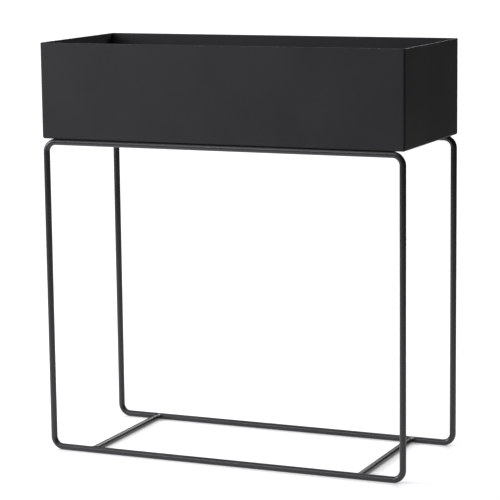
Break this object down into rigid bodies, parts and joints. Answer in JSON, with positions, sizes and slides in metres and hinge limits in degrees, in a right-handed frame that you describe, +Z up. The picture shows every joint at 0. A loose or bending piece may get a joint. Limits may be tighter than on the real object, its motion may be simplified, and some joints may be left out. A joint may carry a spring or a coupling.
{
  "type": "planter",
  "caption": "Long open-topped rectangular planter box of folded sheet metal, raised on a slender stand of bent round bar loops joined by low cross bars.",
  "frame": {"origin": "on the floor, below the middle of the planter; the rails rest on Z = 0", "axes": "+Z up, X along the length of the box, Y from front to back; -Y is a long side of the box"},
  "size_m": [0.6, 0.25, 0.65],
  "materials": {
    "box_coat": "matt black powder coat on steel sheet, fine even texture, low sheen",
    "stand_coat": "matt black powder coat on steel bar, fine even texture, low sheen",
    "weld_coat": "the same matt black powder coat over a dressed weld, slightly rippled",
    "zinc_plate": "bright zinc plate, satin",
    "seal_rubber": "matt black rubber"
  },
  "bodies": {
    "root": {"planter_box": "box_coat", "front_loop": "stand_coat", "rear_loop": "stand_coat", "lower_left_cross_bar": "stand_coat", "lower_right_cross_bar": "stand_coat", "upper_left_cross_bar": "stand_coat", "upper_right_cross_bar": "stand_coat", "weld_lower_left_front": "weld_coat", "weld_lower_left_rear": "weld_coat", "weld_lower_right_front": "weld_coat", "weld_lower_right_rear": "weld_coat", "weld_upper_left_front": "weld_coat", "weld_upper_left_rear": "weld_coat", "weld_upper_right_front": "weld_coat", "weld_upper_right_rear": "weld_coat", "screw_left_front": "zinc_plate", "screw_left_rear": "zinc_plate", "screw_right_front": "zinc_plate", "screw_right_rear": "zinc_plate", "washer_left_front": "seal_rubber", "washer_left_rear": "seal_rubber", "washer_right_front": "seal_rubber", "washer_right_rear": "seal_rubber"}
  },
  "joints": []
}
